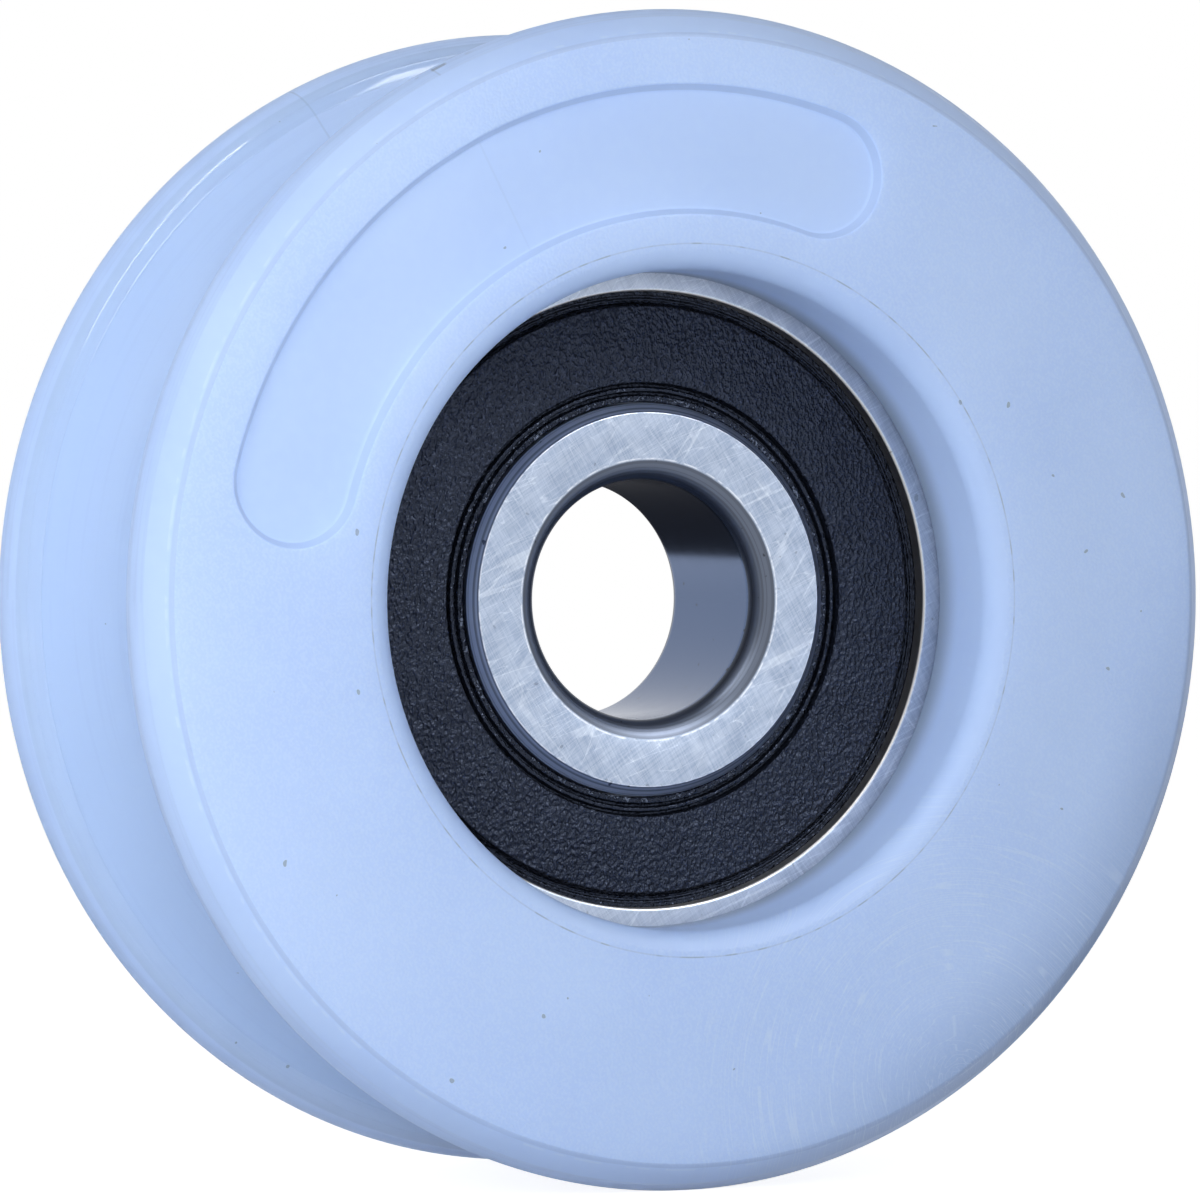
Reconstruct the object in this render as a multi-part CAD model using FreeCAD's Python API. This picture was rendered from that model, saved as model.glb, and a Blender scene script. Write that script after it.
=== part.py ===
"""Round groove wheel: a nylon wheel for a round rail, moulded round a sealed ball bearing.

Millimetres. The origin is the wheel's centre, the axle lies along Y, and the front face looks to -Y.
"""
import FreeCAD, Part
import math
import os

# Bearing: the two diameters that other parts fit, and the balls between them
bore_diameter = 10.0
bearing_outer_diameter = 30.0
ball_diameter = 4.762
ball_count = 8
ball_clearance = 0.05

# Bearing rings
race_relief = 0.1
race_depth = 0.93
ring_corner = 0.6
bore_corner_length = 1.12
bore_corner_depth = 0.88
face_bevel = 0.41
seal_step = 0.3

# Cage: two pressed ribbons, riveted on the lands between the balls
cage_sheet = 0.4
cage_width = 2.2
cage_pocket_clearance = 0.08
rivet_head_diameter = 1.1
rivet_head_height = 0.3
rivet_shank_diameter = 0.7
rivet_clearance = 0.02

# Rubber seals: their place in the bearing
seal_thickness = 0.9
seal_recess = 0.45
seal_to_cage_gap = 0.289
seal_lip_clearance = 0.06
seal_lip_end_gap = 0.1
seal_rim_depth = 0.5
seal_rim_thickness = 0.6
seal_seat_clearance = 0.03
outer_mouth_wall = 1.35
outer_mouth_chamfer = 0.1

# Rubber seals: the rings moulded in their face
seal_lip_width = 0.24
seal_channel_width = 0.2
seal_channel_depth = 0.4
seal_channel_slope = 0.05
seal_rib_width = 0.14
seal_rib_drop = 0.12
seal_edge_channel_width = 0.58
seal_edge_channel_depth = 0.3
seal_edge_slope = 0.13
seal_bead_width = 0.13
seal_bead_height = 0.09
seal_bead_inset = 0.24

# Nylon wheel
groove_radius = 6.0
tread_wall = 3.33
seat_clearance = 0.02
rim_rounding = 1.8
rim_land = 0.05
rim_bevel_length = 1.66
rim_bevel_depth = 1.15
rim_bevel_crown = 0.06
rim_edge_rounding = 0.35
hub_lip = 1.4
hub_mouth_rounding = 1.03

# Label pocket on the front face
pocket_inner_margin = 1.17
pocket_outer_margin = 1.98
pocket_depth = 0.4
pocket_side_run = 0.3
pocket_start_angle = 72.0
pocket_end_angle = 165.0

# Sizes that follow from those above
ball_radius = ball_diameter / 2
pitch_radius = (bore_diameter + bearing_outer_diameter) / 4
ball_step = 360.0 / ball_count
race_radius = ball_radius + race_relief
inner_race_bottom = pitch_radius - ball_radius - ball_clearance
outer_race_bottom = pitch_radius + ball_radius + ball_clearance
inner_shoulder = inner_race_bottom + race_depth
outer_shoulder = outer_race_bottom - race_depth
seal_land = inner_shoulder - seal_step
outer_mouth = outer_shoulder + outer_mouth_wall
outer_seal_groove = outer_mouth + seal_rim_depth

pocket_bore = ball_radius + cage_pocket_clearance
pocket_shell = pocket_bore + cage_sheet
cage_inner = pitch_radius - cage_width / 2
cage_outer = pitch_radius + cage_width / 2
rivet_head_radius = rivet_head_diameter / 2
rivet_shank_radius = rivet_shank_diameter / 2

seal_back = pocket_shell + seal_to_cage_gap
seal_front = seal_back + seal_thickness
bearing_face = seal_front + seal_recess
bore_radius = bore_diameter / 2
bearing_radius = bearing_outer_diameter / 2

seat_radius = bearing_radius + seat_clearance
seat_face = bearing_face + seat_clearance
seat_corner = ring_corner + seat_clearance
groove_bottom = bearing_radius + tread_wall
rim_radius = groove_bottom + groove_radius
rounding_reach = math.sqrt((groove_radius + rim_rounding) ** 2 - rim_rounding ** 2)
bevel_start = rounding_reach + rim_land
wheel_face = bevel_start + rim_bevel_length
hub_mouth = bearing_radius - hub_lip
face_inner = hub_mouth + hub_mouth_rounding
face_outer = rim_radius - rim_bevel_depth

CENTRE = FreeCAD.Vector(0, 0, 0)
AXLE = FreeCAD.Vector(0, 1, 0)


class Section:
    """The outline of a turned piece, drawn as radius and distance along the axle."""

    def __init__(self, radius, along):
        self.start = FreeCAD.Vector(radius, along, 0)
        self.here = self.start
        self.edges = []

    def line(self, radius, along):
        end = FreeCAD.Vector(radius, along, 0)
        self.edges.append(Part.LineSegment(self.here, end).toShape())
        self.here = end

    def arc(self, through, end):
        middle = FreeCAD.Vector(*through, 0)
        finish = FreeCAD.Vector(*end, 0)
        self.edges.append(Part.Arc(self.here, middle, finish).toShape())
        self.here = finish

    def turned(self):
        """The piece whose whole outline is drawn."""
        self.line(self.start.x, self.start.y)
        return spun(self.edges)

    def turned_both_ways(self):
        """The piece that matches on both sides of the middle plane, with one half drawn."""
        other_side = [edge.mirror(CENTRE, AXLE) for edge in self.edges]
        return spun(self.edges + other_side).removeSplitter()


def spun(edges):
    """The solid that a closed outline sweeps in one turn about the axle."""
    section = Part.Face(Part.Wire(Part.__sortEdges__(edges)))
    return section.revolve(CENTRE, AXLE, 360)


def on_circle(radius, degrees, along=0.0):
    """A point on a circle about the axle, counted from +X towards +Z."""
    angle = math.radians(degrees)
    return FreeCAD.Vector(radius * math.cos(angle), along, radius * math.sin(angle))


def corner_depth(radius):
    """How far the middle of a quarter round lies in from its square corner, each way."""
    return radius * (1 - math.sqrt(0.5))


def ring_band(inner_radius, outer_radius, low, high):
    """A plain ring about the axle between two heights along it."""
    base = FreeCAD.Vector(0, low, 0)
    outside = Part.makeCylinder(outer_radius, high - low, base, AXLE)
    inside = Part.makeCylinder(inner_radius, high - low, base, AXLE)
    return outside.cut(inside)


# The bearing's rings, turned with a race for the balls and a step for each seal
def make_inner_ring():
    race_centre = inner_race_bottom + race_radius
    race_edge = math.sqrt(race_radius ** 2 - (race_centre - inner_shoulder) ** 2)
    half_edge = math.asin(race_edge / race_radius) / 2
    race_middle = (race_centre - race_radius * math.cos(half_edge), race_radius * math.sin(half_edge))
    shoulder_end = seal_back - seal_lip_end_gap
    # Each corner of the bore rolls off along an arc that ends in an edge at the ground face
    corner_start = bearing_face - bore_corner_length
    half_turn = math.atan2(bore_corner_depth, bore_corner_length)
    corner_radius = bore_corner_length / math.sin(2 * half_turn)
    corner_middle = (bore_radius + corner_radius * (1 - math.cos(half_turn)),
                     corner_start + corner_radius * math.sin(half_turn))
    ring = Section(bore_radius, 0)
    ring.line(bore_radius, corner_start)
    ring.arc(corner_middle, (bore_radius + bore_corner_depth, bearing_face))
    ring.line(seal_land - face_bevel, bearing_face)
    ring.line(seal_land, bearing_face - face_bevel)
    ring.line(seal_land, shoulder_end)
    ring.line(inner_shoulder, shoulder_end)
    ring.line(inner_shoulder, race_edge)
    ring.arc(race_middle, (inner_race_bottom, 0))
    return ring.turned_both_ways()


def make_outer_ring():
    race_centre = outer_race_bottom - race_radius
    race_edge = math.sqrt(race_radius ** 2 - (outer_shoulder - race_centre) ** 2)
    half_edge = math.asin(race_edge / race_radius) / 2
    race_middle = (race_centre + race_radius * math.cos(half_edge), race_radius * math.sin(half_edge))
    groove_end = seal_back + seal_rim_thickness
    corner_middle = corner_depth(ring_corner)
    ring = Section(bearing_radius, 0)
    ring.line(bearing_radius, bearing_face - ring_corner)
    ring.arc((bearing_radius - corner_middle, bearing_face - corner_middle),
             (bearing_radius - ring_corner, bearing_face))
    ring.line(outer_mouth + outer_mouth_chamfer, bearing_face)
    ring.line(outer_mouth, bearing_face - outer_mouth_chamfer)
    ring.line(outer_mouth, groove_end)
    ring.line(outer_seal_groove, groove_end)
    ring.line(outer_seal_groove, seal_back)
    ring.line(outer_shoulder, seal_back)
    ring.line(outer_shoulder, race_edge)
    ring.arc(race_middle, (outer_race_bottom, 0))
    return ring.turned_both_ways()


# The balls stand evenly on the pitch circle, and the cage's rivets halfway between them
ball_places = [on_circle(pitch_radius, number * ball_step) for number in range(ball_count)]
rivet_places = [on_circle(pitch_radius, (number + 0.5) * ball_step) for number in range(ball_count)]


# The cage: each ribbon is flat between the balls and domed over them
def make_cage_half():
    """The ribbon on the +Y side: lands that meet the other ribbon at the middle plane."""
    domes = [Part.makeSphere(pocket_shell, place) for place in ball_places]
    ball_rooms = [Part.makeSphere(pocket_bore, place) for place in ball_places]
    hole_radius = rivet_shank_radius + rivet_clearance
    rivet_holes = [Part.makeCylinder(hole_radius, cage_sheet, place, AXLE) for place in rivet_places]
    lands = Part.makeCylinder(cage_outer, cage_sheet, CENTRE, AXLE)
    pressed = lands.fuse(domes).common(ring_band(cage_inner, cage_outer, 0, pocket_shell))
    return pressed.cut(ball_rooms + rivet_holes).removeSplitter().Solids[0]


def make_rivet():
    """One rivet: a shank through both lands and a low domed head on each side."""
    dome_radius = (rivet_head_radius ** 2 + rivet_head_height ** 2) / (2 * rivet_head_height)
    dome_centre = cage_sheet + rivet_head_height - dome_radius
    half_angle = math.asin(rivet_head_radius / dome_radius) / 2
    dome_middle = (dome_radius * math.sin(half_angle), dome_centre + dome_radius * math.cos(half_angle))
    half = Section(rivet_shank_radius, 0)
    half.line(rivet_shank_radius, cage_sheet)
    half.line(rivet_head_radius, cage_sheet)
    half.arc(dome_middle, (0, cage_sheet + rivet_head_height))
    half.line(0, 0)
    return half.turned_both_ways()


# A rubber seal: a flat ring with a lip at its bore and a rim that snaps into the outer ring
def make_seal():
    """The seal on the +Y side."""
    lip = seal_land + seal_lip_clearance
    rib_top = seal_front - seal_rib_drop
    channel = seal_front - seal_channel_depth
    edge_channel = seal_front - seal_edge_channel_depth
    seal = Section(lip, seal_back)
    seal.line(lip, rib_top)
    place = lip + seal_lip_width
    seal.line(place, rib_top)
    seal.line(place + seal_channel_slope, channel)
    place = place + seal_channel_width
    seal.line(place - seal_channel_slope, channel)
    seal.line(place, rib_top)
    place = place + seal_rib_width
    seal.line(place, rib_top)
    seal.line(place + seal_channel_slope, channel)
    place = place + seal_channel_width
    seal.line(place - seal_channel_slope, channel)
    seal.line(place, seal_front)
    place = outer_mouth - seal_edge_channel_width
    seal.line(place, seal_front)
    seal.line(place + seal_edge_slope, edge_channel)
    place = place + seal_bead_inset - seal_bead_width / 2
    seal.line(place, edge_channel)
    for bead in (place, place + seal_bead_width):
        seal.arc((bead + seal_bead_width / 2, edge_channel + seal_bead_height),
                 (bead + seal_bead_width, edge_channel))
    rim_front = seal_back + seal_rim_thickness - seal_seat_clearance
    rim_edge = outer_mouth - seal_seat_clearance
    seal.line(rim_edge, edge_channel)
    seal.line(rim_edge, rim_front)
    seal.line(outer_seal_groove - seal_seat_clearance, rim_front)
    seal.line(outer_seal_groove - seal_seat_clearance, seal_back)
    return seal.turned()


# The nylon wheel: one moulding that wraps the outer ring, with a shallow pocket for a label
def make_pocket():
    """The curved pocket with round ends, its sides sloping in from the face to the floor."""
    inner = face_inner + pocket_inner_margin
    outer = face_outer - pocket_outer_margin
    middle = (inner + outer) / 2
    half_width = (outer - inner) / 2
    span_middle = (pocket_start_angle + pocket_end_angle) / 2

    def outline(width, along):
        cap = math.degrees(width / middle)
        start_out = on_circle(middle + width, pocket_start_angle, along)
        start_in = on_circle(middle - width, pocket_start_angle, along)
        end_out = on_circle(middle + width, pocket_end_angle, along)
        end_in = on_circle(middle - width, pocket_end_angle, along)
        start_cap = on_circle(middle, pocket_start_angle - cap, along)
        end_cap = on_circle(middle, pocket_end_angle + cap, along)
        edges = [
            Part.Arc(start_out, on_circle(middle + width, span_middle, along), end_out),
            Part.Arc(end_out, end_cap, end_in),
            Part.Arc(end_in, on_circle(middle - width, span_middle, along), start_in),
            Part.Arc(start_in, start_cap, start_out),
        ]
        return Part.Wire([edge.toShape() for edge in edges])

    mouth = outline(half_width, -wheel_face)
    floor = outline(half_width - pocket_side_run, -wheel_face + pocket_depth)
    return Part.makeLoft([mouth, floor], True, True)


def is_rim_edge(edge):
    """Whether an edge is one of the two circles where the rim's bevel meets a flat face."""
    circle = edge.Curve
    if not isinstance(circle, Part.Circle):
        return False
    on_face = math.isclose(abs(circle.Center.y), wheel_face, rel_tol=1e-6)
    return on_face and math.isclose(circle.Radius, face_outer, rel_tol=1e-6)


def make_wheel_body():
    rounding_centre = rim_radius - rim_rounding
    turn = math.asin(rounding_reach / (groove_radius + rim_rounding))
    groove_edge = (rim_radius - groove_radius * math.cos(turn), groove_radius * math.sin(turn))
    groove_middle = (rim_radius - groove_radius * math.cos(turn / 2), groove_radius * math.sin(turn / 2))
    rounding_middle = (rounding_centre + rim_rounding * math.cos(turn / 2),
                       rounding_reach - rim_rounding * math.sin(turn / 2))
    bevel_slant = math.hypot(rim_bevel_length, rim_bevel_depth)
    bevel_middle = ((rim_radius + face_outer) / 2 + rim_bevel_crown * rim_bevel_length / bevel_slant,
                    (bevel_start + wheel_face) / 2 + rim_bevel_crown * rim_bevel_depth / bevel_slant)
    mouth_middle = corner_depth(hub_mouth_rounding)
    corner_middle = corner_depth(seat_corner)
    wheel = Section(groove_bottom, 0)
    wheel.arc(groove_middle, groove_edge)
    wheel.arc(rounding_middle, (rim_radius, rounding_reach))
    wheel.line(rim_radius, bevel_start)
    wheel.arc(bevel_middle, (face_outer, wheel_face))
    wheel.line(face_inner, wheel_face)
    wheel.arc((hub_mouth + mouth_middle, wheel_face - mouth_middle),
              (hub_mouth, wheel_face - hub_mouth_rounding))
    wheel.line(hub_mouth, seat_face)
    wheel.line(seat_radius - seat_corner, seat_face)
    wheel.arc((seat_radius - corner_middle, seat_face - corner_middle),
              (seat_radius, seat_face - seat_corner))
    wheel.line(seat_radius, 0)
    body = wheel.turned_both_ways()
    rim_edges = [edge for edge in body.Edges if is_rim_edge(edge)]
    return body.makeFillet(rim_edge_rounding, rim_edges).cut(make_pocket())


rear_seal = make_seal()
rear_ribbon = make_cage_half()
rivet = make_rivet()
rivets = [rivet.translated(place) for place in rivet_places]

parts = {
    "wheel_body": make_wheel_body(),
    "outer_ring": make_outer_ring(),
    "inner_ring": make_inner_ring(),
    "front_seal": rear_seal.mirror(CENTRE, AXLE),
    "rear_seal": rear_seal,
    "cage_front_half": rear_ribbon.mirror(CENTRE, AXLE),
    "cage_rear_half": rear_ribbon,
    "cage_rivets": Part.makeCompound(rivets),
}
for number, place in enumerate(ball_places):
    parts[f"ball_{number + 1}"] = Part.makeSphere(ball_radius, place)

os.makedirs("parts", exist_ok=True)
for name, shape in parts.items():
    shape.exportStep(f"parts/{name}.step")
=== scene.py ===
import math

import bmesh
import bpy
from mathutils import Matrix, Vector


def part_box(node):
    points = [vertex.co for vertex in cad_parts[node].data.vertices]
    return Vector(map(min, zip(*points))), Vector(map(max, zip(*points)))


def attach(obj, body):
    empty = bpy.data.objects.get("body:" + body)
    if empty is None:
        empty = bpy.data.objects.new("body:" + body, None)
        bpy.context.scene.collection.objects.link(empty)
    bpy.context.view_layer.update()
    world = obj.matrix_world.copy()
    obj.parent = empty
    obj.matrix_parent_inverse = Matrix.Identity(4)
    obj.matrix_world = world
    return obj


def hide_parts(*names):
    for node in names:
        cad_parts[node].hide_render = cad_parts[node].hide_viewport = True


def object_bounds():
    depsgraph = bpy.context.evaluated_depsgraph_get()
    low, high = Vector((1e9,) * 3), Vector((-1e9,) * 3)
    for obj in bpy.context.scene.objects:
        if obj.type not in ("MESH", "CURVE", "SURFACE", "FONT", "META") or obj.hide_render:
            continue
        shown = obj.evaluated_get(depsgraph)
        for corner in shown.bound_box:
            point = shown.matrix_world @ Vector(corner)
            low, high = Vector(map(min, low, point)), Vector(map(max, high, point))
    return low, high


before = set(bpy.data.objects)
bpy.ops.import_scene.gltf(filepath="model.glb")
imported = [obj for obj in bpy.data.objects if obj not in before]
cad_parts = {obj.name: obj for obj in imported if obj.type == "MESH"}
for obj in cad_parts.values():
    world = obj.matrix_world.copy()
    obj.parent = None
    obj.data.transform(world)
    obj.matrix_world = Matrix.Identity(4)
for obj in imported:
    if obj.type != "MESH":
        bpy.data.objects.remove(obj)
cad_box = [list(corner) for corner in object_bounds()]

# Inner ring: the steel ring of the bearing that sits on the axle. It is turned from bearing steel,
# hardened, and ground on its faces, which leaves short scratches that cross every way; the bore is
# honed and looks duller, and the corner between them is rounded.
mm = 0.001
turn_steps = 360
inner_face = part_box("inner_ring")[1].y / mm
inner_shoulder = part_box("inner_ring")[1].x / mm
bore_radius = 5.0
bore_corner_length = 1.12
bore_corner_depth = 0.88
inner_bevel = 0.41
seal_step = 0.3
lip_land = inner_shoulder - seal_step
lip_land_end = 3.05
race_radius = 2.481
race_edge = 1.938
inner_race_centre = 10.05
outer_mouth = 12.851
corner_steel = (0.12, 0.14, 0.185, 1)
bevel_steel = (0.36, 0.42, 0.55, 1)
turning_mark = (0.07, 0.08, 0.1, 1)
mouth_steel = (0.45, 0.44, 0.43, 1)
bore_steel = (0.087, 0.131, 0.242, 1)
ground_dark = (0.285, 0.355, 0.49, 1)
ground_pale = (0.37, 0.445, 0.585, 1)
scratch_white = (0.8, 0.87, 0.97, 1)
painted_edge_highlight = (0.93, 0.95, 1, 1)
steel_dirt = (0.04, 0.045, 0.055, 1)


def eased(corners):
    """A section outline with each corner (radius, along, rounding) cut by an arc, in millimetres."""
    outline = []
    for index, (radius, along, rounding) in enumerate(corners):
        corner = Vector((radius, along))
        before = (Vector(corners[index - 1][:2]) - corner).normalized()
        after = (Vector(corners[(index + 1) % len(corners)][:2]) - corner).normalized()
        if rounding == 0:
            outline.append(corner)
            continue
        half_angle = before.angle(after) / 2
        reach = rounding / math.tan(half_angle)
        centre = corner + (before + after).normalized() * rounding / math.sin(half_angle)
        spoke = corner + before * reach - centre
        last_spoke = corner + after * reach - centre
        first_angle = math.atan2(spoke.y, spoke.x)
        sweep = math.remainder(math.atan2(last_spoke.y, last_spoke.x) - first_angle, 2 * math.pi)
        steps = max(3, math.ceil(abs(math.degrees(sweep)) / 8))
        for step in range(steps + 1):
            angle = first_angle + sweep * step / steps
            outline.append(centre + Vector((math.cos(angle), math.sin(angle))) * rounding)
    return outline


def arc_corners(centre, radius, first, last, step_degrees=5):
    """Corners along a circular arc of a section, from one angle to another in degrees."""
    steps = math.ceil(abs(last - first) / step_degrees)
    corners = []
    for step in range(steps + 1):
        angle = math.radians(first + (last - first) * step / steps)
        corners.append((centre[0] + radius * math.cos(angle), centre[1] + radius * math.sin(angle), 0))
    return corners


def both_sides(half):
    """A whole section from the half on the +Y side, which runs from the middle plane and back to it."""
    other_half = [(radius, -along, rounding) for radius, along, rounding in reversed(half) if along > 1e-6]
    return half + other_half


def add_turned(mesh, outline, closed=True):
    """Turns a section outline about the axle into quads, and returns the rings of vertices."""
    rings = []
    for radius, along in outline:
        ring = []
        for step in range(turn_steps):
            angle = 2 * math.pi * step / turn_steps
            spot = Vector((radius * math.cos(angle), along, radius * math.sin(angle)))
            ring.append(mesh.verts.new(spot * mm))
        rings.append(ring)
    pairs = list(zip(rings, rings[1:]))
    if closed:
        pairs.append((rings[-1], rings[0]))
    for ring, next_ring in pairs:
        for step in range(turn_steps):
            after = (step + 1) % turn_steps
            mesh.faces.new((ring[step], ring[after], next_ring[after], next_ring[step]))
    return rings


def add_piece(name, mesh, finish):
    """A smooth-shaded piece from a finished mesh, with flats that stay flat beside their rounded edges."""
    bmesh.ops.recalc_face_normals(mesh, faces=mesh.faces)
    data = bpy.data.meshes.new(name)
    mesh.to_mesh(data)
    mesh.free()
    data.shade_smooth()
    data.set_sharp_from_angle(angle=math.radians(35))
    data.materials.append(finish)
    piece = bpy.data.objects.new(name, data)
    bpy.context.scene.collection.objects.link(piece)
    flats = piece.modifiers.new("flats", "WEIGHTED_NORMAL")
    flats.keep_sharp = True
    return piece


class Shade:
    """One output of a shader node; sums and products of outputs become Math nodes."""

    def __init__(self, tree, socket):
        self.tree = tree
        self.socket = socket

    def node(self, kind, settings, inputs, output=0):
        """Any shader node: its settings are put first, then the values or links of its inputs."""
        made = self.tree.nodes.new("ShaderNode" + kind)
        for setting, value in settings.items():
            setattr(made, setting, value)
        for key, value in inputs.items():
            if isinstance(value, Shade):
                self.tree.links.new(value.socket, made.inputs[key])
            else:
                made.inputs[key].default_value = value
        return Shade(self.tree, made.outputs[output])

    def maths(self, operation, first, second=0.0):
        """A Math node on one or two values."""
        return self.node("Math", {"operation": operation}, {0: first, 1: second})

    def __add__(self, other):
        return self.maths("ADD", self, other)

    def __radd__(self, other):
        return self.maths("ADD", other, self)

    def __sub__(self, other):
        return self.maths("SUBTRACT", self, other)

    def __rsub__(self, other):
        return self.maths("SUBTRACT", other, self)

    def __mul__(self, other):
        return self.maths("MULTIPLY", self, other)

    def __rmul__(self, other):
        return self.maths("MULTIPLY", other, self)

    def __abs__(self):
        return self.maths("ABSOLUTE", self)

    def rise(self, low, high):
        """A mask that eases from 0 at low to 1 at high."""
        ends = {"Value": self, "From Min": low, "From Max": high}
        return self.node("MapRange", {"interpolation_type": "SMOOTHSTEP"}, ends)

    def near(self, middle, inside, outside):
        """A mask that is 1 up to inside from a middle value, and eases to 0 at outside from it."""
        return 1 - abs(self - middle).rise(inside, outside)

    def blend(self, off, on):
        """A colour that goes from off to on as this mask goes from 0 to 1."""
        return self.node("Mix", {"data_type": "RGBA"}, {0: self, 6: off, 7: on}, 2)

    def part(self, axis):
        """One direction of this position: X, Y or Z."""
        return self.node("SeparateXYZ", {}, {0: self}, axis)

    def stretched(self, rates):
        """This position with each of its directions at its own rate."""
        return self.node("VectorMath", {"operation": "MULTIPLY"}, {0: self, 1: rates})

    def noise(self, scale, detail=2.0, roughness=0.5):
        """Noise at this position, from about 0.2 to 0.8."""
        inputs = {"Vector": self, "Scale": scale, "Detail": detail, "Roughness": roughness}
        return self.node("TexNoise", {}, inputs)

    def bump(self, distance, strength=1.0):
        """A normal that this height, in units of distance, tilts."""
        return self.node("Bump", {}, {"Strength": strength, "Distance": distance, "Height": self})


def begin_finish(name):
    """A new material, with the place on the piece in millimetres as the start of its nodes."""
    finish = bpy.data.materials.new(name)
    finish.use_nodes = True
    tree = finish.node_tree
    coordinates = tree.nodes.new("ShaderNodeTexCoord")
    place = Shade(tree, coordinates.outputs["Object"]).stretched((1 / mm, 1 / mm, 1 / mm))
    return finish, place


def set_finish(finish, sockets):
    """Puts values or links on the sockets of a material's own shader."""
    shader = finish.node_tree.nodes["Principled BSDF"]
    shader.subsurface_method = "BURLEY"
    for name, value in sockets.items():
        if isinstance(value, Shade):
            finish.node_tree.links.new(value.socket, shader.inputs[name])
        else:
            shader.inputs[name].default_value = value


def axle_distance(place):
    """Radius from the axle, in millimetres."""
    return place.node("VectorMath", {"operation": "LENGTH"}, {0: place.stretched((1, 0, 1))}, "Value")


def scratches(place, degrees, rate, width):
    """Thin straight scratches at an angle across a face, 1 in a scratch and 0 beside it."""
    angle = math.radians(degrees)
    turned = place.node("VectorRotate", {"rotation_type": "Y_AXIS"}, {"Vector": place, "Angle": angle})
    return turned.stretched((0.22, 1, rate)).noise(1.0, 0.0).near(0.5, 0.0, width)


def ground_steel(name):
    """Bearing steel: bright ground faces crossed by fine scratches, with painted highlights along their
    ragged edges, a dark honed bore with specks of dirt, and corners that keep the fine rings of turning."""
    finish, place = begin_finish(name)
    radius = axle_distance(place)
    along = place.part("Y")
    face = abs(along).rise(inner_face - 0.03, inner_face - 0.005)
    bore = 1 - radius.rise(bore_radius + 0.005, bore_radius + 0.03)
    bevel = radius.rise(bore_radius + 1.2, bore_radius + 1.3)
    mouth = radius.rise(outer_mouth - 0.25, outer_mouth - 0.15)
    grain = scratches(place, 35, 16.0, 0.2) + scratches(place, 118, 16.0, 0.2)
    patchy = place.noise(0.5, 2.0).rise(0.4, 0.65)
    crossed = scratches(place, 22, 4.0, 0.02) + scratches(place, 131, 5.0, 0.02) * patchy
    crossed = crossed + scratches(place, 58, 4.5, 0.02) * (1 - patchy)
    rings = place.node("CombineXYZ", {}, {"X": radius * 9, "Y": along * 9}).noise(1.0, 1.0)
    cloud = place.noise(0.9, 3.0, 0.6)
    ragged = place.noise(3.0, 2.0).rise(0.35, 0.6)
    bore_edge = radius.near(bore_radius + bore_corner_depth, 0.01, 0.05)
    bevel_edge = radius.near(lip_land - inner_bevel, 0.01, 0.04)
    edge_glint = (bore_edge + bevel_edge) * ragged * abs(along).rise(inner_face - 0.12, inner_face - 0.06)
    specks = place.noise(2.6, 1.0).rise(0.74, 0.78) * (1 - face * 0.6)
    turned = bevel.blend(corner_steel, bevel_steel)
    turned = (rings.rise(0.45, 0.65) * 0.6).blend(turned, turning_mark)
    turned = mouth.blend(turned, mouth_steel)
    turned = bore.blend(turned, bore_steel)
    ground = cloud.rise(0.3, 0.7).blend(ground_dark, ground_pale)
    ground = (grain * 0.12 + crossed * 0.24 + mouth * 0.18).blend(ground, scratch_white)
    tone = face.blend(turned, ground)
    # Painted highlight: ragged bright lines along the edges of the ground faces, round the bore and the
    # bevel.
    tone = (edge_glint * 0.55).blend(tone, painted_edge_highlight)
    tone = (specks * 0.8).blend(tone, steel_dirt)
    height = rings - crossed * face * 0.6
    set_finish(finish, {
        "Base Color": tone,
        "Metallic": 1.0,
        "Roughness": 0.14 + (1 - bore) * 0.2 + face * 0.02 + cloud * 0.1,
        "Normal": height.bump(0.004 * mm, 0.6),
    })
    return finish


ring_steel = ground_steel("ground_ring_steel")
race_turn = math.degrees(math.asin(race_edge / race_radius))
bore_turn = 2 * math.atan2(bore_corner_length, bore_corner_depth)
bore_corner = bore_corner_length / math.sin(bore_turn)
bore_corner_centre = (bore_radius + bore_corner, inner_face - bore_corner_length)
inner_half = arc_corners((inner_race_centre, 0), race_radius, 180, 180 - race_turn) + [
    (inner_shoulder, lip_land_end, 0.05),
    (lip_land, lip_land_end, 0),
    (lip_land, inner_face - inner_bevel, 0.05),
    (lip_land - inner_bevel, inner_face, 0.06),
]
inner_half += arc_corners(bore_corner_centre, bore_corner, math.degrees(bore_turn), 180)
inner_mesh = bmesh.new()
add_turned(inner_mesh, eased(both_sides(inner_half)))
inner_piece = add_piece("axle_ring", inner_mesh, ring_steel)
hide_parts("inner_ring")
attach(inner_piece, "axle_ring")

# Balls: hardened chrome steel, ground and lapped until they mirror, with a thin film of grease.
# They roll between the two rings and nothing but the cage holds them apart.
lapped_steel = (0.72, 0.74, 0.77, 1)
grease_film = (0.55, 0.5, 0.38, 1)


def dress_solids(start, finish):
    """Gives a finish to every CAD solid whose name starts in this way."""
    for name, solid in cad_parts.items():
        if name.startswith(start):
            solid.data.materials.clear()
            solid.data.materials.append(finish)


ball_finish, ball_place = begin_finish("lapped_ball_steel")
grease = ball_place.noise(0.9, 3.0).rise(0.5, 0.68)
set_finish(ball_finish, {
    "Base Color": grease.blend(lapped_steel, grease_film),
    "Metallic": 1.0,
    "Roughness": 0.07 + grease * 0.2,
    "Normal": ball_place.noise(20.0, 2.0).bump(0.001 * mm, 0.3),
})
dress_solids("ball_", ball_finish)

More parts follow.
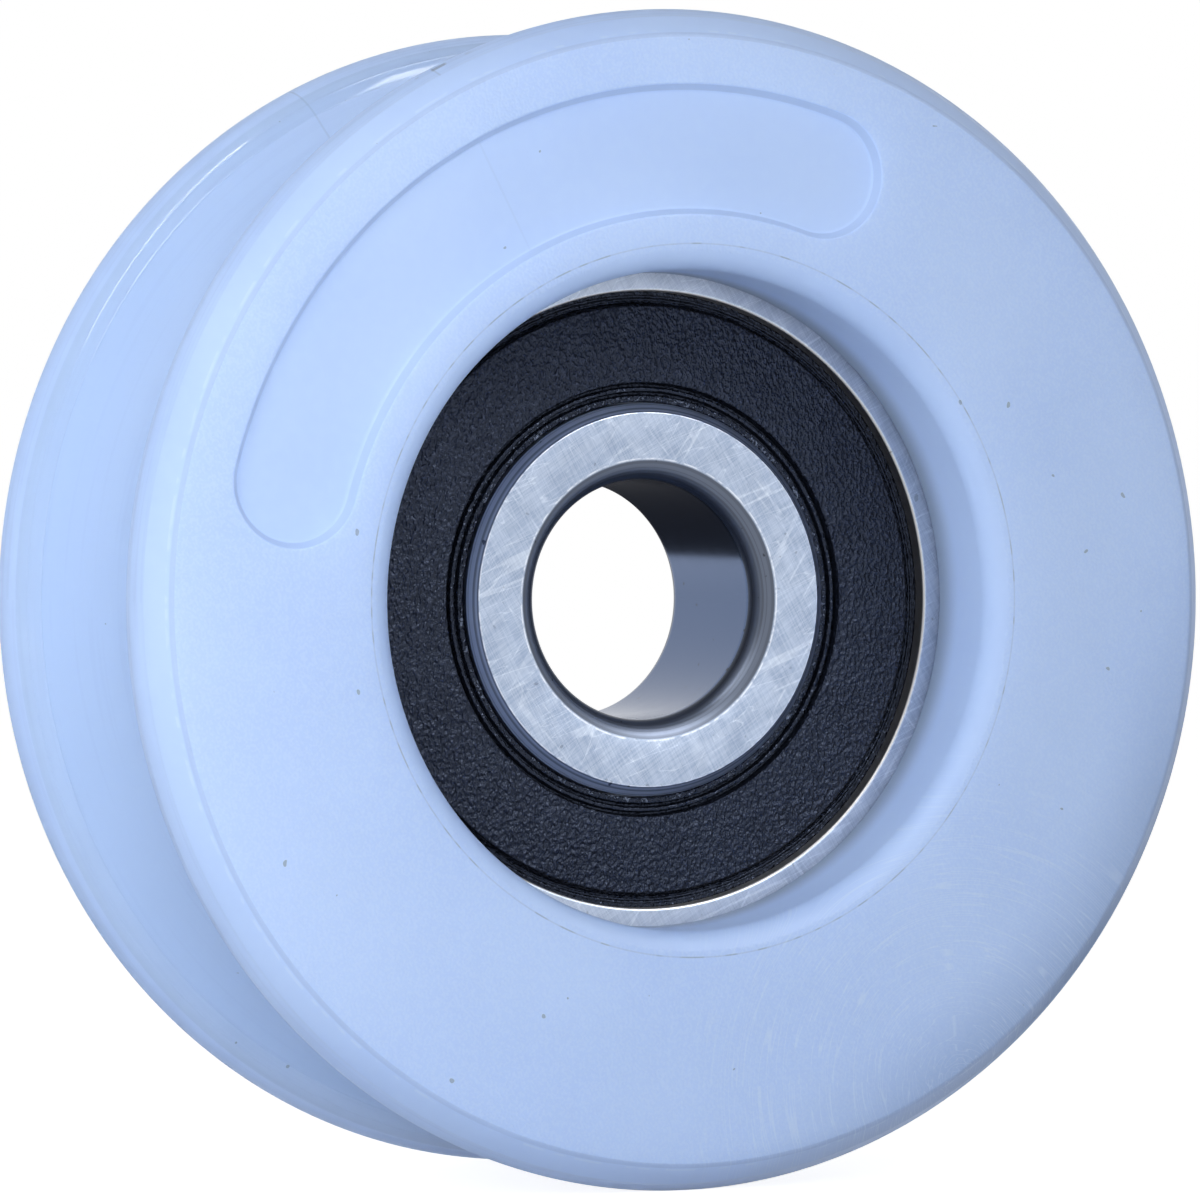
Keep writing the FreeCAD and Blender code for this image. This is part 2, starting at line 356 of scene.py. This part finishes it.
# Cage: two ribbons pressed from thin steel strip and riveted together between the balls.
# The strip keeps the drawn marks of the press, and the rivet heads are set by a punch.
strip_dark = (0.3, 0.31, 0.32, 1)
strip_pale = (0.45, 0.46, 0.47, 1)
cage_finish, cage_place = begin_finish("pressed_cage_steel")
drawn = cage_place.stretched((2.0, 14.0, 2.0)).noise(1.0, 3.0)
cage_cloud = cage_place.noise(0.7, 4.0, 0.6)
set_finish(cage_finish, {
    "Base Color": cage_cloud.rise(0.3, 0.7).blend(strip_dark, strip_pale),
    "Metallic": 1.0,
    "Roughness": 0.28 + drawn * 0.25,
    "Normal": drawn.bump(0.004 * mm, 0.5),
})
dress_solids("cage_", cage_finish)

# Outer ring: the bearing's other steel ring. It is held in the nylon, so only a narrow band of each
# ground face shows, and inside it the bright mouth of the groove that grips the seal.
outer_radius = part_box("outer_ring")[1].x / mm
outer_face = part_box("outer_ring")[1].y / mm
outer_corner = 0.6
seal_back = 3.15
seal_groove_end = 3.75
seal_groove = 13.351
outer_shoulder = 11.501
outer_race_centre = 9.95
outer_half = arc_corners((outer_race_centre, 0), race_radius, 0, race_turn) + [
    (outer_shoulder, seal_back, 0.03),
    (seal_groove, seal_back, 0.03),
    (seal_groove, seal_groove_end, 0.03),
    (outer_mouth, seal_groove_end, 0.04),
    (outer_mouth, outer_face, 0.14),
    (outer_radius, outer_face, outer_corner),
    (outer_radius, 0, 0),
]
outer_mesh = bmesh.new()
add_turned(outer_mesh, eased(both_sides(outer_half)))
outer_piece = add_piece("bearing_outer_ring", outer_mesh, ring_steel)
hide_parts("outer_ring")
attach(outer_piece, "wheel")

# Seals: black rubber moulded on a stiff washer, one in each side of the bearing. The flat has a
# leathery grain from its mould, which is shallower on the lip and the ribs, and the rim is snapped
# into the outer ring's groove.
lip_radius = lip_land + 0.06
lip_end = lip_radius + 0.24
rib_start = lip_end + 0.2
rib_end = rib_start + 0.14
flat_start = rib_end + 0.2
channel_slope = 0.05
seal_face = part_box("rear_seal")[1].y / mm
rib_top = seal_face - 0.12
channel_floor = seal_face - 0.4
rim_channel = seal_face - 0.3
flat_edge = outer_mouth - 0.58
flat_slope = 0.13
bead_centres = (12.511, 12.641)
bead_radius = 0.062
seal_gap = 0.03
seal_rim = seal_groove - seal_gap
seal_rim_front = seal_groove_end - seal_gap
rib_black = (0.004, 0.005, 0.009, 1)
flat_dark = (0.005, 0.006, 0.011, 1)
flat_pale = (0.008, 0.01, 0.017, 1)
grain_top = (0.02, 0.024, 0.04, 1)
scuff_grey = (0.16, 0.19, 0.26, 1)
rubber_gloss = (0.52, 0.64, 0.95, 1)


def seal_rubber():
    """Moulded black rubber: a leathery flat between darker ribs, and a lip that is scuffed grey."""
    finish, place = begin_finish("grained_seal_rubber")
    radius = axle_distance(place)
    flat = radius.rise(flat_start - 0.04, flat_start + 0.06)
    flat = flat * (1 - radius.rise(flat_edge - 0.07, flat_edge + 0.03))
    lip = 1 - radius.rise(lip_end - 0.08, lip_end + 0.02)
    leather = place.stretched((6.5, 6.5, 5.0)).noise(1.0, 1.0, 0.5)
    chips = place.noise(5.0, 3.0, 0.7).rise(0.5, 0.62)
    cloud = place.noise(0.5, 2.0)
    flat_tone = cloud.rise(0.3, 0.7).blend(flat_dark, flat_pale)
    tone = flat.blend(rib_black, flat_tone)
    tone = (leather.rise(0.5, 0.7) * flat).blend(tone, grain_top)
    tone = (lip * chips * 0.8).blend(tone, scuff_grey)
    height = leather * (0.5 + flat * 0.5) + chips * lip * 0.25
    set_finish(finish, {
        "Base Color": tone,
        "Roughness": 0.15 + flat * 0.18 + cloud * 0.06,
        "Specular IOR Level": 0.5,
        "Specular Tint": rubber_gloss,
        "Normal": height.bump(0.25 * mm, 1.0),
    })
    return finish


seal_finish = seal_rubber()
seal_corners = [
    (lip_radius, seal_back, 0.03),
    (lip_radius, rib_top, 0.06),
    (lip_end, rib_top, 0.05),
    (lip_end + channel_slope, channel_floor, 0.03),
    (rib_start - channel_slope, channel_floor, 0.03),
    (rib_start, rib_top, 0.05),
    (rib_end, rib_top, 0.05),
    (rib_end + channel_slope, channel_floor, 0.03),
    (flat_start - channel_slope, channel_floor, 0.03),
    (flat_start, seal_face, 0.08),
    (flat_edge, seal_face, 0.09),
    (flat_edge + flat_slope, rim_channel, 0.05),
]
for bead_centre in bead_centres:
    seal_corners += arc_corners((bead_centre, rim_channel), bead_radius, 180, 0, 15)
seal_corners += [
    (outer_mouth - seal_gap, rim_channel, 0),
    (outer_mouth - seal_gap, seal_rim_front, 0),
    (seal_rim, seal_rim_front, 0.03),
    (seal_rim, seal_back, 0.03),
]
for seal_name, side in (("front_seal", -1), ("rear_seal", 1)):
    seal_mesh = bmesh.new()
    add_turned(seal_mesh, [(radius, along * side) for radius, along in eased(seal_corners)])
    seal_piece = add_piece(seal_name + "_ring", seal_mesh, seal_finish)
    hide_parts(seal_name)
    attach(seal_piece, "wheel")

# Wheel: one moulding in natural nylon, cast round the outer ring. The faces keep the fine spark
# texture of the mould, the groove and the pocket floor are smooth, and a faint crease runs round
# each hub mouth where the mould's core met its plate.
rim_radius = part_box("wheel_body")[1].x / mm
wheel_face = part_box("wheel_body")[1].y / mm
groove_radius = 6.0
mouth_rounding = 1.8
rim_tip = 7.639
texture_edge = 8.24
texture_edge_radius = rim_radius - 0.33
face_outer = rim_radius - 1.15
hub_mouth = 13.6
hub_rounding = 1.03
seat_clearance = 0.02
face_inner = hub_mouth + hub_rounding
pocket_inner = face_inner + 1.17
pocket_outer = face_outer - 1.98
pocket_middle = (pocket_inner + pocket_outer) / 2
pocket_half_width = (pocket_outer - pocket_inner) / 2
pocket_angles = (72.0, 165.0)
pocket_depth = 0.4
pocket_wall = 0.3
pocket_apron = 0.3
pocket_floor_edge = 0.8
parting = math.radians(117.7)
lip_line_radii = (rim_radius - 0.71, rim_radius - 1.23)
# Painted shade on the lower right of the rim: its direction and its radii.
rim_shade_angle = math.radians(-40)
rim_shade_radii = (19.5, 23.4)
rub_centre = (12.0, 0, -20.0)
rub_fade = (8, 16)
nylon_low = (0.452, 0.618, 0.975, 1)
nylon_high = (0.477, 0.643, 0.985, 1)
mottle_pale = (0.5, 0.67, 0.99, 1)
spark_pale = (0.55, 0.7, 0.99, 1)
painted_rim_shade = (0.28, 0.4, 0.66, 1)
groove_blue = (0.385, 0.535, 0.81, 1)
hairline_blue = (0.36, 0.5, 0.8, 1)
painted_wall_and_corner_shade = (0.34, 0.47, 0.76, 1)
seam_blue = (0.3, 0.42, 0.66, 1)
rub_and_highlight_white = (0.72, 0.84, 1, 1)
painted_seat_shade = (0.16, 0.2, 0.27, 1)
nylon_dirt = (0.12, 0.14, 0.18, 1)


def pocket_ring(mesh, inset, depth):
    """A closed ring of vertices round the pocket, inset from its mouth and set below the face."""
    width = pocket_half_width - inset
    along = depth - wheel_face
    first, last = pocket_angles
    axle = Vector((0, 0))
    end_centres = {}
    for end in pocket_angles:
        turn = math.radians(end)
        end_centres[end] = Vector((math.cos(turn), math.sin(turn))) * pocket_middle
    runs = (
        (axle, pocket_middle + width, first, last, 120),
        (end_centres[last], width, last, last + 180, 48),
        (axle, pocket_middle - width, last, first, 100),
        (end_centres[first], width, first - 180, first, 48),
    )
    ring = []
    for centre, radius, start, stop, steps in runs:
        for step in range(steps):
            angle = math.radians(start + (stop - start) * step / steps)
            spot = centre + Vector((math.cos(angle), math.sin(angle))) * radius
            ring.append(mesh.verts.new(Vector((spot.x, along, spot.y)) * mm))
    return ring


def ring_edges(mesh, ring):
    """The edges between the neighbours of a closed ring of vertices, made where there are none."""
    ends = list(zip(ring, ring[1:] + ring[:1]))
    return [mesh.edges.get(pair) or mesh.edges.new(pair) for pair in ends]


def nylon_moulding():
    """The wheel's mesh: the turned body, with its front face filled round the pocket."""
    mesh = bmesh.new()
    reach = math.sqrt((groove_radius + mouth_rounding) ** 2 - mouth_rounding ** 2)
    opening = math.degrees(math.acos(mouth_rounding / (groove_radius + mouth_rounding)))
    half = arc_corners((rim_radius, 0), groove_radius, 180, 180 - opening, 3)
    half += arc_corners((rim_radius - mouth_rounding, reach), mouth_rounding, -opening, 0, 5)[1:]
    half += [
        (rim_radius, rim_tip, 0),
        (texture_edge_radius, texture_edge, 0.15),
        (face_outer, wheel_face, 0.35),
        (hub_mouth, wheel_face, hub_rounding),
        (hub_mouth, outer_face + seat_clearance, 0.04),
        (outer_radius + seat_clearance, outer_face + seat_clearance, outer_corner),
        (outer_radius + seat_clearance, 0, 0),
    ]
    outline = eased(both_sides(half))
    face_start = next(index for index, spot in enumerate(outline) if abs(spot.y + wheel_face) < 1e-4)
    rings = add_turned(mesh, outline[face_start + 1:] + outline[:face_start + 1], closed=False)
    wall = eased([
        (-pocket_apron, 0, 0),
        (0, 0, 0.12),
        (pocket_wall, pocket_depth, 0.14),
        (pocket_floor_edge, pocket_depth, 0),
    ])
    pocket = [pocket_ring(mesh, inset, depth) for inset, depth in wall]
    for ring, next_ring in zip(pocket, pocket[1:]):
        for index in range(len(ring)):
            mesh.faces.new((ring[index - 1], ring[index], next_ring[index], next_ring[index - 1]))
    face_edges = ring_edges(mesh, rings[0]) + ring_edges(mesh, rings[-1]) + ring_edges(mesh, pocket[0])
    for edges in (face_edges, ring_edges(mesh, pocket[-1])):
        bmesh.ops.triangle_fill(mesh, use_beauty=True, edges=edges, normal=(0, -1, 0))
    return mesh


def natural_nylon():
    """Pale, slightly clear nylon: finely grained faces, a darker groove between sleek lips, the marks that
    the mould and use have left, and painted shade and highlights on the rim, the pocket and the hub mouth."""
    finish, place = begin_finish("natural_nylon")
    radius = axle_distance(place)
    across = place.part("X")
    along = place.part("Y")
    up = place.part("Z")
    angle = place.maths("ARCTAN2", up, across)
    # Areas of the moulding
    sunk = along + wheel_face
    textured = abs(along).rise(texture_edge - 0.04, texture_edge + 0.04)
    face = abs(along).rise(wheel_face - 0.08, wheel_face - 0.02)
    band = radius.rise(pocket_inner - 0.5, pocket_inner - 0.4)
    band = band * (1 - radius.rise(pocket_outer + 0.4, pocket_outer + 0.5))
    band = band * (1 - sunk.rise(pocket_depth + 0.05, pocket_depth + 0.1))
    pocket = band * sunk.rise(0.02, 0.08)
    wall = pocket * (1 - sunk.rise(pocket_depth - 0.07, pocket_depth - 0.02))
    groove = (1 - textured) * radius.rise(outer_radius + 1.5, outer_radius + 2.0)
    tip = groove * radius.rise(rim_radius - 0.43, rim_radius - 0.23)
    lip = groove * radius.rise(rim_radius - 1.38, rim_radius - 1.13) - tip
    seat_shade = (1 - abs(along).rise(outer_face, outer_face + 1.9)) * (1 - groove)
    # Grain of the nylon and of the mould
    cloud = place.noise(0.14, 0.0)
    mottle = place.noise(1.7, 0.0)
    spark = place.noise(9.0, 0.0)
    broken = mottle.rise(0.48, 0.66)
    round_groove = {"X": along * 7, "Y": angle * 2.5, "Z": radius * 7}
    hairlines = place.node("CombineXYZ", {}, round_groove).noise(1.0, 0.0)
    # Lines and edges from the mould, and a painted shade line and a painted highlight at the corner of the
    # face
    from_parting = across * math.sin(parting) - up * math.cos(parting)
    seam = from_parting.near(0.0, 0.02, 0.07) * (groove + (pocket - wall) * 0.25) * up.rise(0, 0.1)
    crease = radius.near(face_inner, 0.015, 0.045) * textured
    corner_shade_line = radius.near(face_outer, 0.07, 0.12) * textured
    corner_shine = radius.near(face_outer + 0.17, 0.02, 0.06) * textured * broken
    nick = angle.near(parting, 0.03, 0.09) * along.near(-rim_tip - 0.12, 0.04, 0.1) * broken
    lip_lines = sum(radius.near(line, 0.01, 0.05) for line in lip_line_radii) * groove
    # Marks of use, and painted shade on the lower right of the rim
    specks = place.noise(2.2, 0.0).rise(0.89, 0.9)
    lower_rim_shade = angle.near(rim_shade_angle, 0.25, 0.85) * radius.rise(*rim_shade_radii) * textured
    rub_ends = {0: place.stretched((1, 0, 1)), 1: rub_centre}
    from_rub = place.node("VectorMath", {"operation": "DISTANCE"}, rub_ends, "Value")
    rub_turn = place.maths("ARCTAN2", up - rub_centre[2], across - rub_centre[0])
    arcs = place.node("CombineXYZ", {}, {"X": from_rub * 5, "Y": rub_turn * 1.2}).noise(1.0, 0.0)
    rubbed = arcs.near(0.5, 0.0, 0.04) * (1 - from_rub.rise(*rub_fade)) * textured
    # Tones, from the whole body to the smallest marks
    tone = cloud.rise(0.3, 0.7).blend(nylon_low, nylon_high)
    tone = (mottle.rise(0.35, 0.75) * 0.2).blend(tone, mottle_pale)
    tone = (spark.rise(0.4, 0.7) * face * 0.35).blend(tone, spark_pale)
    # Painted shade: the lower right of the rim is darkened, on the side away from the light.
    tone = (lower_rim_shade * 0.6).blend(tone, painted_rim_shade)
    tone = ((groove - tip) * 0.7).blend(tone, groove_blue)
    tone = (hairlines.rise(0.55, 0.75) * groove * 0.2).blend(tone, hairline_blue)
    # Painted shade: the pocket walls, and a thin line round the corner of the face and the rim's bevel,
    # are darkened.
    tone = (wall * 0.7 + corner_shade_line * 0.5).blend(tone, painted_wall_and_corner_shade)
    tone = (seam * 0.5).blend(tone, seam_blue)
    # Real rub marks, and a painted highlight: a thin broken pale line just outside the corner of the face.
    tone = (rubbed * 0.25 + corner_shine * 0.2).blend(tone, rub_and_highlight_white)
    # Painted shade: the wall of the hub mouth is darkened beside the bearing, deep in the recess.
    tone = (seat_shade * 0.7).blend(tone, painted_seat_shade)
    dirt = crease * (0.15 + broken * 0.25) + nick * 0.5 + specks * 0.5
    tone = dirt.blend(tone, nylon_dirt)
    height = spark * face + lip_lines * 0.5
    set_finish(finish, {
        "Base Color": tone,
        "Roughness": 0.5 + mottle * 0.06 - lip * 0.46,
        "Subsurface Weight": 0.6,
        "Subsurface Radius": (1, 1, 1),
        "Subsurface Scale": 6.5 * mm,
        "Specular IOR Level": 0.5,
        "Normal": height.bump(0.035 * mm, 0.6),
    })
    return finish


wheel_piece = add_piece("nylon_wheel", nylon_moulding(), natural_nylon())
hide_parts("wheel_body")
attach(wheel_piece, "wheel")

# Floor and light: a pale floor and a white backdrop. Four soft lamps light the wheel and show in
# no reflection; three more lamps show in reflections only, and give the steel, the rubber and the
# groove's lips something to mirror. A black card behind the wheel, seen in reflections only, is a
# painted shadow of the wheel on the floor.
camera_azimuth = math.radians(-24.994)
floor_radius = 1.5
floor_glow = 0.86
paper_grey = (0.5, 0.5, 0.5, 1)
card_left = -0.055
card_right = 0.045
card_near = 0.01
card_far = 0.9
card_lift = 0.5 * mm
painted_shadow_black = (0.03, 0.03, 0.035, 1)
backdrop_white = (1, 1, 1, 1)
fill_strength = 0.28


def add_stage(name, mesh, height, finish):
    """A flat sheet of the studio, which is no part of the wheel."""
    data = bpy.data.meshes.new(name)
    mesh.to_mesh(data)
    mesh.free()
    data.materials.append(finish)
    sheet = bpy.data.objects.new(name, data)
    sheet.location.z = height
    bpy.context.scene.collection.objects.link(sheet)
    return sheet


def seen_white(tree):
    """1 for what the camera sees straight on or in metal, and 0 for what only lights the wheel."""
    rays = tree.nodes.new("ShaderNodeLightPath").outputs
    straight = Shade(tree, rays["Is Camera Ray"])
    return straight + Shade(tree, rays["Is Glossy Ray"]) + Shade(tree, rays["Is Transmission Ray"])


def set_output(tree, kind, surface):
    """Links a finished shader to its tree's output."""
    tree.links.new(surface.socket, tree.nodes[kind].inputs["Surface"])


floor_finish = bpy.data.materials.new("pale_floor")
floor_finish.use_nodes = True
floor_seen = seen_white(floor_finish.node_tree)
paper = floor_seen.node("BsdfDiffuse", {}, {"Color": paper_grey})
glow = floor_seen.node("Emission", {}, {"Strength": floor_glow})
lit_paper = floor_seen.node("AddShader", {}, {0: paper, 1: glow})
floor_surface = floor_seen.node("MixShader", {}, {0: floor_seen, 1: paper, 2: lit_paper})
set_output(floor_finish.node_tree, "Material Output", floor_surface)
floor_mesh = bmesh.new()
bmesh.ops.create_circle(floor_mesh, cap_ends=True, segments=96, radius=floor_radius)
floor_height = cad_box[0][2]
add_stage("floor", floor_mesh, floor_height, floor_finish)

# Painted shadow: a black card on the floor behind the wheel, which only reflections see.
shadow_card_finish = bpy.data.materials.new("painted_shadow_paper")
shadow_card_finish.use_nodes = True
set_finish(shadow_card_finish, {"Base Color": painted_shadow_black, "Roughness": 0.9})
card_corners = (
    (card_left, card_near, 0),
    (card_right, card_near, 0),
    (card_right, card_far, 0),
    (card_left, card_far, 0),
)
card_mesh = bmesh.new()
card_mesh.faces.new([card_mesh.verts.new(corner) for corner in card_corners])
card = add_stage("painted_shadow_card", card_mesh, floor_height + card_lift, shadow_card_finish)
card.rotation_euler.z = camera_azimuth
card.visible_camera = False
card.visible_diffuse = False
card.visible_shadow = False

backdrop = bpy.data.worlds.new("white_backdrop")
backdrop.use_nodes = True
bpy.context.scene.world = backdrop
backdrop_seen = seen_white(backdrop.node_tree)
fill = backdrop_seen.node("Background", {}, {"Color": backdrop_white, "Strength": fill_strength})
white_paper = backdrop_seen.node("Background", {}, {"Color": backdrop_white, "Strength": 1.0})
backdrop_light = backdrop_seen.node("MixShader", {}, {0: backdrop_seen, 1: fill, 2: white_paper})
set_output(backdrop.node_tree, "World Output", backdrop_light)


def add_lamp(name, power, place, size, aim=(0, 0, 0), lengthwise=(0, 0, 1), spread=180, mirrored=False):
    """A soft flat lamp. A mirrored one shows in reflections only, and any other only gives light."""
    data = bpy.data.lights.new(name, "AREA")
    data.shape = "RECTANGLE"
    data.size, data.size_y = size
    data.spread = math.radians(spread)
    data.energy = power
    lamp = bpy.data.objects.new(name, data)
    facing = (Vector(place) - Vector(aim)).normalized()
    sideways = facing.cross(Vector(lengthwise)).normalized()
    turn = Matrix((sideways.cross(facing), sideways, facing)).transposed().to_4x4()
    lamp.matrix_world = Matrix.Translation(place) @ turn
    lamp.visible_camera = False
    lamp.visible_diffuse = not mirrored
    lamp.visible_glossy = mirrored
    bpy.context.scene.collection.objects.link(lamp)


left_place = (-0.246, -0.172, 0.075)
window_place = (-0.159, -0.129, 0.243)
window_slant = (-0.68, -0.335, -0.655)
add_lamp("key_lamp", 0.0102, (-0.065, -0.115, 0.008), (0.07, 0.07), aim=(-0.02, -0.009, 0.004), spread=55)
add_lamp("side_lamp", 0.39, left_place, (0.19, 0.1))
add_lamp("strip_lamp", 0.1, left_place, (0.19, 0.06), mirrored=True)
add_lamp("window_lamp", 0.28, window_place, (0.2, 0.025), lengthwise=window_slant, mirrored=True)
add_lamp("glint_lamp", 0.49, (0.1, -0.19, 0.2), (0.14, 0.14), lengthwise=(1, 0, 0), mirrored=True)
add_lamp("right_lamp", 0.062, (0.2, -0.2, 0.1), (0.2, 0.2))
add_lamp("back_lamp", 0.034, (0.08, 0.27, 0.03), (0.1, 0.1), spread=50)

# Camera: a long lens, level with the axle and to the left of the wheel's face. Its place was
# fitted to the outlines of the rim, the hub mouth, the rings and the bore.
camera_elevation = math.radians(0.491)
camera_distance = 278.66 * mm
shift_right = -0.1827 * mm
shift_up = -0.0495 * mm
camera_data = bpy.data.cameras.new("camera")
camera_data.lens = 197.83
camera_data.sensor_width = 36
camera_data.clip_start = 0.01
camera = bpy.data.objects.new("camera", camera_data)
right = Vector((math.cos(camera_azimuth), math.sin(camera_azimuth), 0))
level = Vector((math.sin(camera_azimuth), -math.cos(camera_azimuth), 0))
back = level * math.cos(camera_elevation) + Vector((0, 0, math.sin(camera_elevation)))
above = back.cross(right)
camera_turn = Matrix((right, above, back)).transposed().to_4x4()
camera_place = back * camera_distance + right * shift_right + above * shift_up
camera.matrix_world = Matrix.Translation(camera_place) @ camera_turn
bpy.context.scene.collection.objects.link(camera)
bpy.context.scene.camera = camera
bpy.context.scene.view_settings.view_transform = "Standard"
